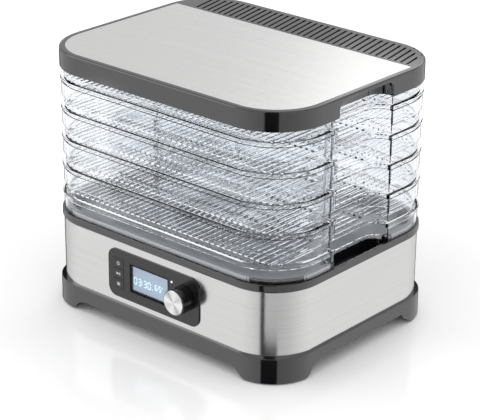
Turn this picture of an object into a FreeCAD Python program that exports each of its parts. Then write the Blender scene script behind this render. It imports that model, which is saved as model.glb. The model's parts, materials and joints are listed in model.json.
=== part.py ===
"""Food dehydrator with five clear stacking trays, as a parametric FreeCAD document.

Millimetres, +Z up, the control panel on the -Y side.  Each sub-part is drawn about the vertical
centre line of the housing, and its Placement moves it to the part's frame, whose origin lies on the
floor under the middle of the whole object, knob included.
"""
import FreeCAD, Part
import math
import os

import Sketcher
from FreeCAD import Placement, Rotation, Vector

DIMENSIONS = {
    # housing, seen from above
    "body_length": 340,         # left to right over the lid
    "body_depth": 266.5,        # front to back over the lid
    "lid_radius": 60.5,
    "bezel_radius": 58,
    "wrap_radius": 55,
    "plinth_radius": 50,
    # levels above the floor, from the feet up
    "foot_gap": 1.5,            # the rubber feet lift the plinth this much
    "plinth_height": 27.7,
    "wrap_height": 71.5,
    "bezel_height": 9,
    # base housing
    "wrap_inset": 2.75,
    "wrap_thickness": 0.8,
    "tub_wall": 2.5,
    "cover_level": 17,
    "cover_thickness": 2.5,
    "cover_gap": 0.3,
    "ledge_width": 6,
    "ledge_thickness": 3,
    "ledge_root": 1,            # how far the ledge runs into the tub wall
    "edge_round": 0.8,
    "opening_gap": 0.6,         # opening in the front or back wall, over what passes through it
    "slip": 0.2,                # hole over screw, and seat over foot
    "foot_seat": 1.5,
    "intake_width": 3.2,
    "intake_length": 46,
    "intake_offset": 27,
    "intake_span": 90,
    "intake_count": 13,
    "foot_length": 38,          # corner to the start of the arch between two feet
    "arch_ramp": 29,
    "front_arch": 13,
    "side_arch": 15.5,
    "foot_radius": 10,
    "foot_boss_radius": 12.5,
    "foot_offset": 26.6,        # foot centre to the housing's sides
    # top deck
    "deck_thickness": 2.5,
    "deck_rim": 8.5,
    "deck_lip": 5,              # height of the upstand that centres the lowest tray
    "post_radius": 4.5,
    "post_offset_x": 44,
    "post_offset_y": 35,
    "pilot_radius": 1.65,
    "pilot_depth": 16,
    "pocket_depth": 16,         # finger pockets beside the lowest tray
    "pocket_wall": 2,
    "pocket_band": 3,           # bezel left standing in front of a finger pocket
    "pocket_reach": 3,          # how much deeper a pocket is than the hand recess above it
    "pocket_side": 1.5,
    "pocket_sill": 1.6,         # bezel's lower edge to the sill of a pocket
    "bezel_round": 2.2,
    "upstand_foot": 1.2,        # how far the upstand runs over the deck's floor
    # stack of trays
    "tray_pitch": 32.4,
    "skirt_drop": 20.6,         # grid to the skirt's lower edge
    "wall_height": 26,          # grid to the top of the wall that nests in the next skirt
    "lip_inset": 0.2,
    "skirt_inset": 1.3,
    "tray_wall": 2.2,
    "nest_gap": 0.7,
    "floor_thickness": 2.2,
    "lip_round": 0.6,
    "slot_width": 4.6,
    "slot_pitch": 7.5,
    "slot_columns": 37,
    "cross_rib": 5,
    "slot_margin": 16,
    "slot_step": 6,             # outer slots end this much further in, column by column
    # hand recess on each side
    "recess_depth": 20,
    "recess_half": 43.5,
    "recess_radius": 15,
    "recess_centre": -3,
    "recess_raise": 5,          # the recess wall stops this much above the skirt's edge
    # lid
    "lid_height": 21,
    "lid_ledge": 2.4,           # seat on the top tray to the lid's ceiling
    "lid_top": 3.5,
    "lid_wall": 2.6,
    "lid_round": 2.2,
    "notch_corner": 9,
    "notch_lip": 1,
    "notch_join": 0.1,          # the notch's two cuts overlap by this
    "rim_inset": 6.2,
    "plate_thickness": 1,
    "plate_sink": 0.2,
    "plate_gap": 0.3,
    "vent_front": 56,           # plate's rear edge to the lid's rear edge
    "vent_margin": 2.5,
    "groove_width": 2.8,
    "groove_depth": 1.5,
    "groove_pitch": 8.1,
    "groove_run": 48,
    "groove_slant": 11.5,
    "groove_count": 37,
    "vent_rim_outer": 4,
    "vent_rim_inner": 8.6,
    "vent_hole": 3.6,
    "vent_hole_over": 0.6,      # hole over groove
    "vent_holes_left": 12,
    "vent_holes_right": 11,
    # control panel, measured from the middle of the front and from the floor
    "panel_x": -3.3,
    "panel_z": 64,
    "panel_length": 130.5,
    "panel_height": 55,
    "panel_radius": 11,
    "panel_proud": 1.5,
    "panel_overlap": 4,
    "panel_back": 3.2,          # thickness of the panel behind its face
    "panel_post_left": -40.5,
    "panel_post_right": 53.9,
    "panel_post_rise": 19.5,    # panel's middle to the upper and lower posts
    "panel_round": 0.6,
    "window_x": -8.8,
    "window_z": 64,
    "window_length": 55.5,
    "window_height": 32,
    "window_lip": 2,
    "window_thickness": 1.5,
    "window_gap": 0.15,
    "lcd_thickness": 4,
    "button_x": -53.2,
    "button_z": 64,
    "button_length": 15.4,
    "button_height": 11,
    "button_pitch": 11.9,
    "button_gap": 0.25,
    "button_proud": 0.4,
    "button_flange": 1.2,
    "flange_gap": 0.05,
    "flange_side": 1,           # flange beyond the cap's opening on each side
    "button_round": 0.4,
    "stem_gap": 0.1,
    "button_travel": 0.5,
    "stem_radius": 1.8,
    "light_x": 23.7,
    "light_z": 78.3,
    "light_radius": 1.2,
    "light_tail": 1,
    "panel_hole_gap": 0.1,
    "board_gap": 12,            # back of the panel to the control board
    "board_thickness": 1.6,
    "switch_side": 6,
    "switch_height": 4,
    "knob_x": 41.8,
    "knob_z": 66,
    "knob_radius": 14.3,
    "knob_length": 15.6,
    "knob_gap": 0.6,
    "knob_skin": 2,
    "knob_face": 3,             # knob's front left solid over the hollow
    "knob_round": 0.6,
    "cap_chamfer": 0.5,
    "shaft_end_gap": 0.2,
    "cap_radius": 13.3,
    "cap_thickness": 1,
    "shaft_radius": 3,
    "shaft_clearance": 0.05,
    "bush_radius": 4.4,
    "encoder_side": 13,
    "encoder_height": 6,
    # fan and heater
    "duct_radius": 69,
    "duct_wall": 1.5,
    "duct_gap": 2.5,
    "motor_radius": 26,
    "motor_height": 27,
    "bracket_level": 28,
    "bracket_width": 22,
    "bracket_thickness": 2,
    "bracket_half": 60,
    "fan_radius": 62,
    "hub_radius": 14,
    "hub_height": 12,
    "fan_gap": 4,
    "blade_thickness": 1.8,
    "blade_chord": 24,
    "blade_pitch_angle": 28,
    "blade_count": 7,
    "blade_root": 2,
    "spindle_radius": 2.5,
    "motor_floor": 6,
    "spindle_foot": 8,          # motor's lower face to the spindle's lower end
    "nut_radius": 5,
    "nut_height": 4,
    "heater_level": 82,
    "heater_height": 8,
    "mica_thickness": 1.2,
    "coil_width": 4,
    "coil_pitch": 13,
    "sheet_gap": 0.4,           # both ends of a mica sheet to the duct
    "thermostat_level": 70,
    "thermostat_radius": 8,
    "thermostat_depth": 7,
    "flange_length": 24,
    "flange_height": 8,
    "flange_thickness": 1,
    "fuse_x": 20,
    "fuse_radius": 2,
    "fuse_length": 12,
    "sensor_radius": 2,
    "sensor_length": 14,
    "sensor_gap": 2,
    "sensor_y": 30,
    "guard_thickness": 2.5,
    "guard_lap": 4,
    "guard_ring": 2,
    "guard_pitch": 10,
    "guard_rings": 5,
    "guard_spokes": 8,
    "guard_rim": 2,             # guard's rim inside the deck's opening
    "spoke_width": 2.6,
    # mains side
    "inlet_x": -105,
    "inlet_z": 62,
    "inlet_length": 48,
    "inlet_height": 27,
    "inlet_flange": 1.5,
    "socket_length": 24.5,
    "socket_height": 17,
    "socket_depth": 16,
    "socket_wall": 2,
    "inlet_screw_pitch": 39,
    "inlet_head": 1,
    "pin_width": 2,
    "pin_height": 4,
    "pin_pitch": 7,
    "pin_offset": 2,            # earth pin above the middle, the other two below it
    "pin_recess": 3.2,
    "power_board_x": -116,
    "power_board_y": 22,
    "power_board_length": 70,
    "power_board_depth": 86,
    "board_hole_inset": 5,
    "standoff_height": 6,
    "standoff_radius": 3.5,
    "screw_radius": 1.6,
    "screw_head_radius": 3.2,
    "screw_head_height": 2,
    "small_head_radius": 2.8,
    "head_gap": 0.3,
    "head_sink": 1,
    "cross_length": 3.6,
    "cross_width": 0.9,
    "cross_depth": 1,
    "screw_length": 14,
    "small_screw_length": 5,
    "transformer_length": 28,
    "transformer_depth": 24,
    "transformer_height": 20,
    "transformer_x": -14,       # from the middle of the power board, as the four below
    "transformer_y": 20,
    "relay_length": 20,
    "relay_depth": 16,
    "relay_height": 15,
    "relay_x": 12,
    "capacitor_radius": 5,
    "capacitor_height": 16,
    "capacitor_x": -16,
    "small_parts_y": -14,
    "overshoot": 2,             # cutting sketches start this far outside what they cut
}

# Levels above the floor.
PLINTH_TOP = "(size.foot_gap + size.plinth_height)"
WRAP_TOP = f"({PLINTH_TOP} + size.wrap_height)"
SEAT = f"({WRAP_TOP} + size.bezel_height)"
COVER_TOP = "(size.cover_level + size.cover_thickness)"
FIRST_GRID = f"({SEAT} + size.skirt_drop)"
LAST_GRID = f"({FIRST_GRID} + 4 * size.tray_pitch)"
# A ledge under each tray, and under the lid, rests on the wall of the tray below.
LEDGE_DROP = "(size.tray_pitch - size.wall_height)"
LID_SEAT = f"({LAST_GRID} + size.wall_height)"
# Faces of the front.
FRONT = "(-size.body_depth / 2 + size.wrap_inset)"
PANEL_FACE = f"({FRONT} - size.panel_proud)"
PANEL_BACK = f"({PANEL_FACE} + size.panel_back)"
BOARD_FACE = f"({PANEL_BACK} + size.board_gap)"
KNOB_BACK = f"({PANEL_FACE} - size.knob_gap)"
# The knob stands out in front, so the housing's centre lies this far behind the origin.
SHIFT = ("((size.panel_proud + size.knob_gap + size.knob_length + size.cap_thickness"
         " - size.wrap_inset) / 2)")

doc = FreeCAD.newDocument("food_dehydrator")
sheet = doc.addObject("Spreadsheet::Sheet", "size")
for row, (alias, amount) in enumerate(DIMENSIONS.items(), start=1):
    sheet.set(f"A{row}", alias.replace("_", " "))
    sheet.set(f"B{row}", str(amount))
    sheet.setAlias(f"B{row}", alias)
doc.recompute()

subparts = []


def number(expression):
    """Value of an expression in the sheet's aliases."""
    return float(sheet.evalExpression(str(expression)))


# ---------------------------------------------------------------- sketches

def sketch_in(body, plane="XY_Plane", x="0", y="0", z="0", turn=0):
    """Sketch on one of the body's own planes, moved by x and y in it and by z along its normal."""
    sketch = body.newObject("Sketcher::SketchObject", "Sketch")
    support = next(item for item in body.Origin.OriginFeatures if item.Role == plane)
    sketch.AttachmentSupport = [(support, "")]
    sketch.MapMode = "FlatFace"
    sketch.AttachmentOffset = Placement(Vector(), Rotation(Vector(0, 0, 1), turn))
    for axis, expression in zip("xyz", (x, y, z)):
        sketch.setExpression(f"AttachmentOffset.Base.{axis}", str(expression))
    return sketch


def bind(sketch, kind, *references, to):
    """Dimensional constraint that takes its value from an expression."""
    index = sketch.addConstraint(Sketcher.Constraint(kind, *references, number(to)))
    sketch.setExpression(f"Constraints[{index}]", str(to))


def locate(sketch, element, point, x, y):
    """Hold a point of an element at x, y from the sketch's origin."""
    for kind, axis, expression in (("DistanceX", -2, x), ("DistanceY", -1, y)):
        amount = number(expression)
        if abs(amount) < 1e-9:
            sketch.addConstraint(Sketcher.Constraint("PointOnObject", element, point, axis))
        elif amount > 0:
            bind(sketch, kind, -1, 1, element, point, to=expression)
        else:
            bind(sketch, kind, element, point, -1, 1, to=f"-({expression})")


def circle(sketch, radius, x="0", y="0"):
    centre = Vector(number(x), number(y), 0)
    index = sketch.addGeometry(Part.Circle(centre, Vector(0, 0, 1), number(radius)), False)
    bind(sketch, "Radius", index, to=radius)
    locate(sketch, index, 3, x, y)


def rectangle(sketch, length, width, x="0", y="0"):
    """Sharp rectangle centred on x, y."""
    half_x, half_y = number(length) / 2, number(width) / 2
    centre = Vector(number(x), number(y), 0)
    signs = ((-1, -1), (1, -1), (1, 1), (-1, 1))
    corners = [centre + Vector(a * half_x, b * half_y, 0) for a, b in signs]
    sides = [Part.LineSegment(corners[i], corners[(i + 1) % 4]) for i in range(4)]
    first = sketch.addGeometry(sides, False)[0]
    for side in range(4):
        sketch.addConstraint(
            Sketcher.Constraint("Coincident", first + side, 2, first + (side + 1) % 4, 1))
        level = "Horizontal" if side % 2 == 0 else "Vertical"
        sketch.addConstraint(Sketcher.Constraint(level, first + side))
    bind(sketch, "DistanceX", first, 1, first, 2, to=length)
    bind(sketch, "DistanceY", first + 1, 1, first + 1, 2, to=width)
    locate(sketch, first, 1, f"{x} - ({length}) / 2", f"{y} - ({width}) / 2")


def rounded_rectangle(sketch, length, width, radius):
    """Rectangle with four equal corner arcs, centred on the sketch's origin."""
    r = number(radius)
    a, b = number(length) / 2, number(width) / 2
    up = Vector(0, 0, 1)
    elements = []
    corners = ((a - r, r - b, -90), (a - r, b - r, 0), (r - a, b - r, 90), (r - a, r - b, 180))
    starts = ((r - a, -b), (a, r - b), (a - r, b), (-a, b - r))
    ends = ((a - r, -b), (a, b - r), (r - a, b), (-a, r - b))
    for (x, y, angle), start, end in zip(corners, starts, ends):
        elements.append(Part.LineSegment(Vector(*start, 0), Vector(*end, 0)))
        arc = Part.Circle(Vector(x, y, 0), up, r)
        elements.append(Part.ArcOfCircle(arc, math.radians(angle), math.radians(angle + 90)))
    first = sketch.addGeometry(elements, False)[0]
    for side in range(8):
        sketch.addConstraint(
            Sketcher.Constraint("Tangent", first + side, 2, first + (side + 1) % 8, 1))
    for side, level in enumerate(("Horizontal", "Vertical", "Horizontal", "Vertical")):
        sketch.addConstraint(Sketcher.Constraint(level, first + 2 * side))
    for arc in (3, 5, 7):
        sketch.addConstraint(Sketcher.Constraint("Equal", first + 1, first + arc))
    sketch.addConstraint(Sketcher.Constraint("Symmetric", first + 3, 3, first + 7, 3, -1, 1))
    bind(sketch, "Radius", first + 1, to=radius)
    bind(sketch, "DistanceX", first + 6, 1, first + 2, 1, to=length)
    bind(sketch, "DistanceY", first, 1, first + 4, 1, to=width)


def half_rounded(sketch, depth, half_width, radius):
    """Flat side on the sketch's vertical axis, rounded corners at the far side, towards -x."""
    r, d, h = number(radius), number(depth), number(half_width)
    up = Vector(0, 0, 1)
    upper = Part.Circle(Vector(r - d, h - r, 0), up, r)
    lower = Part.Circle(Vector(r - d, r - h, 0), up, r)
    first = sketch.addGeometry([
        Part.LineSegment(Vector(0, -h, 0), Vector(0, h, 0)),
        Part.LineSegment(Vector(0, h, 0), Vector(r - d, h, 0)),
        Part.ArcOfCircle(upper, math.pi / 2, math.pi),
        Part.LineSegment(Vector(-d, h - r, 0), Vector(-d, r - h, 0)),
        Part.ArcOfCircle(lower, math.pi, 3 * math.pi / 2),
        Part.LineSegment(Vector(r - d, -h, 0), Vector(0, -h, 0)),
    ], False)[0]
    for side in range(6):
        kind = "Coincident" if side in (0, 5) else "Tangent"
        following = first + (side + 1) % 6
        sketch.addConstraint(Sketcher.Constraint(kind, first + side, 2, following, 1))
    for side, level in ((0, "Vertical"), (1, "Horizontal"), (3, "Vertical"), (5, "Horizontal")):
        sketch.addConstraint(Sketcher.Constraint(level, first + side))
    sketch.addConstraint(Sketcher.Constraint("Equal", first + 2, first + 4))
    sketch.addConstraint(Sketcher.Constraint("Symmetric", first, 1, first, 2, -1, 1))
    bind(sketch, "Radius", first + 2, to=radius)
    bind(sketch, "DistanceX", first + 3, 1, first, 1, to=depth)
    bind(sketch, "DistanceY", first, 1, first, 2, to=f"2 * ({half_width})")


# ---------------------------------------------------------------- features

def new_body(name):
    return doc.addObject("PartDesign::Body", name)


def pad(body, sketch, length, down=False):
    feature = body.newObject("PartDesign::Pad", "Pad")
    feature.Profile = sketch
    feature.Reversed = down
    feature.setExpression("Length", str(length))
    sketch.Visibility = False
    doc.recompute()
    return feature


def pocket(body, sketch, depth, along=False):
    """Cut against the sketch's normal, or along it."""
    before = body.Shape.Volume
    feature = body.newObject("PartDesign::Pocket", "Pocket")
    feature.Profile = sketch
    feature.Reversed = along
    feature.setExpression("Length", str(depth))
    doc.recompute()
    if body.Shape.Volume > before - 1e-6:
        raise RuntimeError(f"a pocket in {body.Name} removes nothing")
    return feature


def pattern(body, features, role, length, count):
    """Repeat features along one of the body's axes."""
    feature = body.newObject("PartDesign::LinearPattern", "LinearPattern")
    feature.Originals = features
    axis = next(item for item in body.Origin.OriginFeatures if item.Role == role)
    feature.Direction = (axis, [""])
    feature.setExpression("Length", str(length))
    feature.setExpression("Occurrences", str(count))
    body.Tip = feature
    doc.recompute()
    return feature


def turn_pattern(body, features, count):
    """Repeat features round the body's vertical axis."""
    feature = body.newObject("PartDesign::PolarPattern", "PolarPattern")
    feature.Originals = features
    axis = next(item for item in body.Origin.OriginFeatures if item.Role == "Z_Axis")
    feature.Axis = (axis, [""])
    feature.Angle = 360
    feature.setExpression("Occurrences", str(count))
    body.Tip = feature
    doc.recompute()
    return feature


def round_edges(body, base, radius, wanted, kind="PartDesign::Fillet"):
    """Fillet or chamfer the edges of a feature that a test picks."""
    names = [f"Edge{i}" for i, edge in enumerate(base.Shape.Edges, start=1) if wanted(edge)]
    feature = body.newObject(kind, kind.split("::")[1])
    feature.Base = (base, names)
    feature.setExpression("Radius" if kind.endswith("Fillet") else "Size", str(radius))
    doc.recompute()
    return feature


def at_height(level):
    """Test for edges that lie flat at a height."""
    def wanted(edge):
        box = edge.BoundBox
        return abs(box.ZMin - level) < 1e-4 and abs(box.ZMax - level) < 1e-4
    return wanted


def at_depth(level):
    """Test for edges that lie in a plane facing front or back."""
    def wanted(edge):
        box = edge.BoundBox
        return abs(box.YMin - level) < 1e-4 and abs(box.YMax - level) < 1e-4
    return wanted


def outline(sketch, inset, radius):
    """Outline of the housing moved inwards; the corner radius is the one at no inset."""
    rounded_rectangle(sketch, f"size.body_length - 2 * ({inset})",
                      f"size.body_depth - 2 * ({inset})", f"{radius} - ({inset})")


# ---------------------------------------------------------------- primitives

def box(name, size, at):
    """Box centred on x, y, z, each an expression."""
    item = doc.addObject("Part::Box", name)
    for side, axis, extent, middle in zip(("Length", "Width", "Height"), "xyz", size, at):
        item.setExpression(side, str(extent))
        item.setExpression(f"Placement.Base.{axis}", f"{middle} - ({extent}) / 2")
    return item


def cylinder(name, radius, height, at, axis="z"):
    """Cylinder whose end face is centred on at; it extends along +x, +y or +z."""
    item = doc.addObject("Part::Cylinder", name)
    directions = {"x": Vector(1, 0, 0), "y": Vector(0, 1, 0), "z": Vector(0, 0, 1)}
    item.Placement = Placement(Vector(), Rotation(Vector(0, 0, 1), directions[axis]))
    item.setExpression("Radius", str(radius))
    item.setExpression("Height", str(height))
    for name_of, middle in zip("xyz", at):
        item.setExpression(f"Placement.Base.{name_of}", str(middle))
    return item


def joined(name, *items):
    item = doc.addObject("Part::MultiFuse", name)
    item.Shapes = list(items)
    return item


def minus(name, base, *tools):
    item = doc.addObject("Part::Cut", name)
    item.Base = base
    item.Tool = tools[0] if len(tools) == 1 else joined(f"{name}_tools", *tools)
    return item


def grouped(name, items):
    """Separate solids that share a node."""
    item = doc.addObject("Part::Compound", name)
    item.Links = list(items)
    return item


def tube(name, inner, outer, height, at, axis="z"):
    return minus(name, cylinder(f"{name}_outer", outer, height, at, axis),
                 cylinder(f"{name}_bore", inner, height, at, axis))


def finish(item, label, x="0", y="0", z="0"):
    """Label a sub-part and place it in the part's frame."""
    item.Label = label
    for axis, expression in zip("xyz", (x, f"{y} + {SHIFT}", z)):
        item.setExpression(f"Placement.Base.{axis}", expression)
    subparts.append(item)


SIDES = ((1, 0), (-1, 180))


# ---------------------------------------------------------------- trays and lid

def recess(body, inset, low, height, as_wall=False):
    """Hand recess on both sides, cut or filled, for a wall whose face is moved in by inset."""
    for side, turn in SIDES:
        face = f"-({inset} - size.tray_wall / 2)" if as_wall else "size.overshoot"
        reach = f"(size.recess_depth + {inset} + ({face}))"
        sketch = sketch_in(body, x=f"{side} * (size.body_length / 2 + {face})",
                           y="size.recess_centre", z=low, turn=turn)
        half_rounded(sketch, reach, f"size.recess_half + {inset}", f"size.recess_radius + {inset}")
        if as_wall:
            pad(body, sketch, height)
        else:
            pocket(body, sketch, height, along=True)


def make_tray_moulding():
    """Clear moulding: skirt, grid floor and a narrower wall that nests in the next skirt."""
    body = new_body("TrayMoulding")
    skirt = "size.skirt_inset"
    nest = f"({skirt} + size.tray_wall + size.nest_gap)"
    inner = f"({nest} + size.tray_wall)"
    radius = "size.lid_radius"

    lip = sketch_in(body, z="-size.floor_thickness")
    outline(lip, "size.lip_inset", radius)
    plate = pad(body, lip, "size.floor_thickness")
    round_edges(body, plate, "size.lip_round", at_height(0))
    drop = sketch_in(body, z="-size.floor_thickness")
    outline(drop, skirt, radius)
    pad(body, drop, "size.skirt_drop - size.floor_thickness", down=True)
    rise = sketch_in(body)
    outline(rise, nest, radius)
    pad(body, rise, "size.wall_height")
    above = sketch_in(body)
    outline(above, inner, radius)
    pocket(body, above, "size.wall_height", along=True)
    below = sketch_in(body, z="-size.skirt_drop")
    outline(below, f"{skirt} + size.tray_wall", radius)
    pocket(body, below, f"size.skirt_drop - {LEDGE_DROP}", along=True)
    ledge = sketch_in(body, z=f"-{LEDGE_DROP}")
    outline(ledge, inner, radius)
    pocket(body, ledge, f"{LEDGE_DROP} - size.floor_thickness", along=True)

    low = "-size.skirt_drop + size.recess_raise"
    recess(body, f"({skirt} + size.tray_wall)", low, f"-({low})", as_wall=True)
    recess(body, inner, "0", "size.wall_height", as_wall=True)
    recess(body, skirt, "-size.skirt_drop", "size.skirt_drop - size.floor_thickness")
    recess(body, "size.lip_inset", "-size.floor_thickness", "size.floor_thickness")
    recess(body, nest, "0", "size.wall_height")

    rows = sketch_in(body, z="-size.floor_thickness")
    reach = "(size.body_depth - 2 * size.slot_margin)"
    length = f"(({reach} - 2 * size.cross_rib) / 3)"
    for place in (-1, 0, 1):
        rectangle(rows, "size.slot_width", length,
                  "-size.slot_pitch * (size.slot_columns - 1) / 2",
                  f"{place} * ({length} + size.cross_rib)")
    slots = pocket(body, rows, "size.floor_thickness", along=True)
    pattern(body, [slots], "X_Axis", "size.slot_pitch * (size.slot_columns - 1)",
            "size.slot_columns")
    corners = sketch_in(body, z="-size.floor_thickness")
    for side in (-1, 1):
        for end in (-1, 1):
            for column in (1, 2):
                x = f"{side} * size.slot_pitch * ((size.slot_columns - 1) / 2 + {column})"
                near = f"(size.recess_half + {inner} + size.cross_rib)"
                far = f"(size.body_depth / 2 - size.slot_margin - {column} * size.slot_step)"
                rectangle(corners, "size.slot_width", f"{far} - {near}", x,
                          f"size.recess_centre * (1 - {end}) + {end} * ({far} + {near}) / 2")
    pocket(body, corners, "size.floor_thickness", along=True)
    return body


def make_trays():
    """Five trays from one mould, each in its own place in the stack."""
    moulding = make_tray_moulding()
    for place in range(5):
        tray = grouped(f"Tray{place + 1}", [moulding])
        finish(tray, f"tray_{place + 1}", z=f"{FIRST_GRID} + {place} * size.tray_pitch")


def make_lid_frame():
    """Black moulding: skirt, recess walls, vent strip and the sunk field for the steel plate."""
    body = new_body("LidFrame")
    radius = "size.lid_radius"
    top = "(size.lid_ledge + size.lid_top)"
    bottom = f"({top} - size.lid_height)"
    shell = sketch_in(body, z=bottom)
    outline(shell, "0", radius)
    block = pad(body, shell, "size.lid_height")
    round_edges(body, block, "size.lid_round", at_height(number(top)))

    first_x = "(-size.groove_pitch * (size.groove_count - 1) / 2)"
    front = "(size.body_depth / 2 - size.vent_front + size.vent_margin)"
    groove = sketch_in(body, x=f"{first_x} + size.groove_run / 2 * sin(size.groove_slant)",
                       y=f"{front} + size.groove_run / 2", z=top,
                       turn=number("size.groove_slant"))
    rectangle(groove, "size.groove_width", "size.groove_run")
    cut = pocket(body, groove, "size.groove_depth")
    pattern(body, [cut], "X_Axis", "size.groove_pitch * (size.groove_count - 1)",
            "size.groove_count")

    rim = sketch_in(body, z=f"{top} - size.groove_depth")
    outline(rim, "size.vent_rim_outer", radius)
    outline(rim, "size.vent_rim_inner", radius)
    pad(body, rim, "size.groove_depth")
    field = sketch_in(body, y=f"{front} - size.vent_margin", z=top, turn=90)
    half_rounded(field, "size.body_depth - size.vent_front - size.rim_inset",
                 "size.body_length / 2 - size.rim_inset", f"{radius} - size.rim_inset")
    pocket(body, field, "size.plate_thickness + size.plate_sink")

    under = sketch_in(body, z=bottom)
    outline(under, "size.lid_wall", radius)
    pocket(body, under, f"-({bottom})", along=True)
    ceiling = sketch_in(body)
    inner = "(size.skirt_inset + 2 * size.tray_wall + size.nest_gap)"
    outline(ceiling, inner, radius)
    pocket(body, ceiling, "size.lid_ledge", along=True)
    recess(body, "size.lid_wall", bottom, f"size.lid_ledge - ({bottom})", as_wall=True)
    notch = f"size.lid_ledge - ({bottom}) - size.notch_lip"
    for side, turn in SIDES:
        hollow = sketch_in(body, x=f"{side} * (size.body_length / 2 - size.lid_wall + size.notch_join)",
                           y="size.recess_centre", z=bottom, turn=turn)
        half_rounded(hollow, "size.recess_depth - size.lid_wall + size.notch_join",
                     "size.recess_half", "size.recess_radius")
        pocket(body, hollow, notch, along=True)
        window = sketch_in(body, "YZ_Plane", x="size.recess_centre", y=bottom,
                           z=f"{side} * (size.body_length / 2 + size.overshoot)", turn=-90)
        half_rounded(window, notch, "size.recess_half", "size.notch_corner")
        pocket(body, window, "size.lid_wall + size.overshoot + size.notch_join",
               along=side < 0)
    return body, top, front


def make_lid():
    body, top, front = make_lid_frame()
    hole_y = "(size.body_depth / 2 - size.vent_rim_inner - size.vent_hole / 2)"
    drift = f"({front} + size.groove_run - {hole_y}) * tan(size.groove_slant)"
    for name, count, start in (("left", "size.vent_holes_left", "-size.vent_holes_left"),
                               ("right", "size.vent_holes_right", "1")):
        hole = sketch_in(body, z=top)
        rectangle(hole, "size.groove_width + size.vent_hole_over", "size.vent_hole",
                  f"({start}) * size.groove_pitch + {drift}", hole_y)
        cut = pocket(body, hole, "size.lid_top")
        pattern(body, [cut], "X_Axis", f"size.groove_pitch * ({count} - 1)", count)
    finish(body, "lid_frame", z=LID_SEAT)

    plate = new_body("LidPlate")
    face = sketch_in(plate, y="size.body_depth / 2 - size.vent_front - size.plate_gap",
                     z=f"{top} - size.plate_sink - size.plate_thickness", turn=90)
    gap = "(size.rim_inset + size.plate_gap)"
    half_rounded(face, f"size.body_depth - size.vent_front - size.plate_gap - {gap}",
                 f"size.body_length / 2 - {gap}", f"size.lid_radius - {gap}")
    pad(plate, face, "size.plate_thickness")
    finish(plate, "lid_plate", z=LID_SEAT)


# ---------------------------------------------------------------- base housing

WRAP_BACK = "(size.wrap_inset + size.wrap_thickness)"
CAVITY = f"({WRAP_BACK} + size.tub_wall)"
# Openings that the panel and the mains socket pass through.
PANEL_OPENING = ("size.panel_length - 2 * size.panel_overlap + size.opening_gap",
                 "size.panel_height - 2 * size.panel_overlap + size.opening_gap")
SOCKET_OPENING = ("size.socket_length + 2 * size.socket_wall + size.opening_gap",
                  "size.socket_height + 2 * size.socket_wall + size.opening_gap")


def arch(sketch, half_span, rise, low):
    """Flat-topped arch whose two ends ramp down in an S of two equal arcs."""
    a, b = number(half_span), number(half_span) - number("size.arch_ramp")
    h, c = number(rise), number(low)
    ramp = a - b
    r = (ramp ** 2 + h ** 2) / (4 * h)
    turn = math.asin(ramp / 2 / r)
    up = Vector(0, 0, 1)
    down, left = -math.pi / 2, math.pi / 2

    def arc(x, y, start, end):
        return Part.ArcOfCircle(Part.Circle(Vector(x, y, 0), up, r), start, end)

    first = sketch.addGeometry([
        Part.LineSegment(Vector(-a, c, 0), Vector(a, c, 0)),
        Part.LineSegment(Vector(a, c, 0), Vector(a, 0, 0)),
        arc(a, r, down - turn, down),
        arc(b, h - r, left - turn, left),
        Part.LineSegment(Vector(b, h, 0), Vector(-b, h, 0)),
        arc(-b, h - r, left, left + turn),
        arc(-a, r, down, down + turn),
        Part.LineSegment(Vector(-a, 0, 0), Vector(-a, c, 0)),
    ], False)[0]

    def tie(kind, *references):
        sketch.addConstraint(Sketcher.Constraint(kind, *references))

    tie("Coincident", first, 2, first + 1, 1)
    tie("Coincident", first + 1, 2, first + 2, 2)
    tie("Tangent", first + 2, 1, first + 3, 1)
    tie("Tangent", first + 3, 2, first + 4, 1)
    tie("Tangent", first + 4, 2, first + 5, 1)
    tie("Tangent", first + 5, 2, first + 6, 2)
    tie("Coincident", first + 6, 1, first + 7, 1)
    tie("Coincident", first + 7, 2, first, 1)
    tie("Vertical", first + 1)
    tie("Vertical", first + 7)
    tie("Vertical", first + 2, 3, first + 2, 2)
    tie("Vertical", first + 6, 3, first + 6, 1)
    tie("Symmetric", first, 1, first, 2, -2)
    tie("Symmetric", first + 4, 1, first + 4, 2, -2)
    tie("Equal", first + 2, first + 3)
    tie("PointOnObject", first + 1, 2, -1)
    tie("PointOnObject", first + 7, 1, -1)
    bind(sketch, "DistanceX", -1, 1, first + 1, 1, to=half_span)
    bind(sketch, "DistanceX", -1, 1, first + 4, 1, to=f"{half_span} - size.arch_ramp")
    bind(sketch, "DistanceY", -1, 1, first + 4, 1, to=rise)
    bind(sketch, "DistanceY", first, 1, -1, 1, to=f"-({low})")


def corners(inset_x, inset_y):
    """Expressions for four points that lie in from the housing's corners."""
    for side in (1, -1):
        for end in (1, -1):
            yield (f"{side} * (size.body_length / 2 - {inset_x})",
                   f"{end} * (size.body_depth / 2 - {inset_y})")


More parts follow.
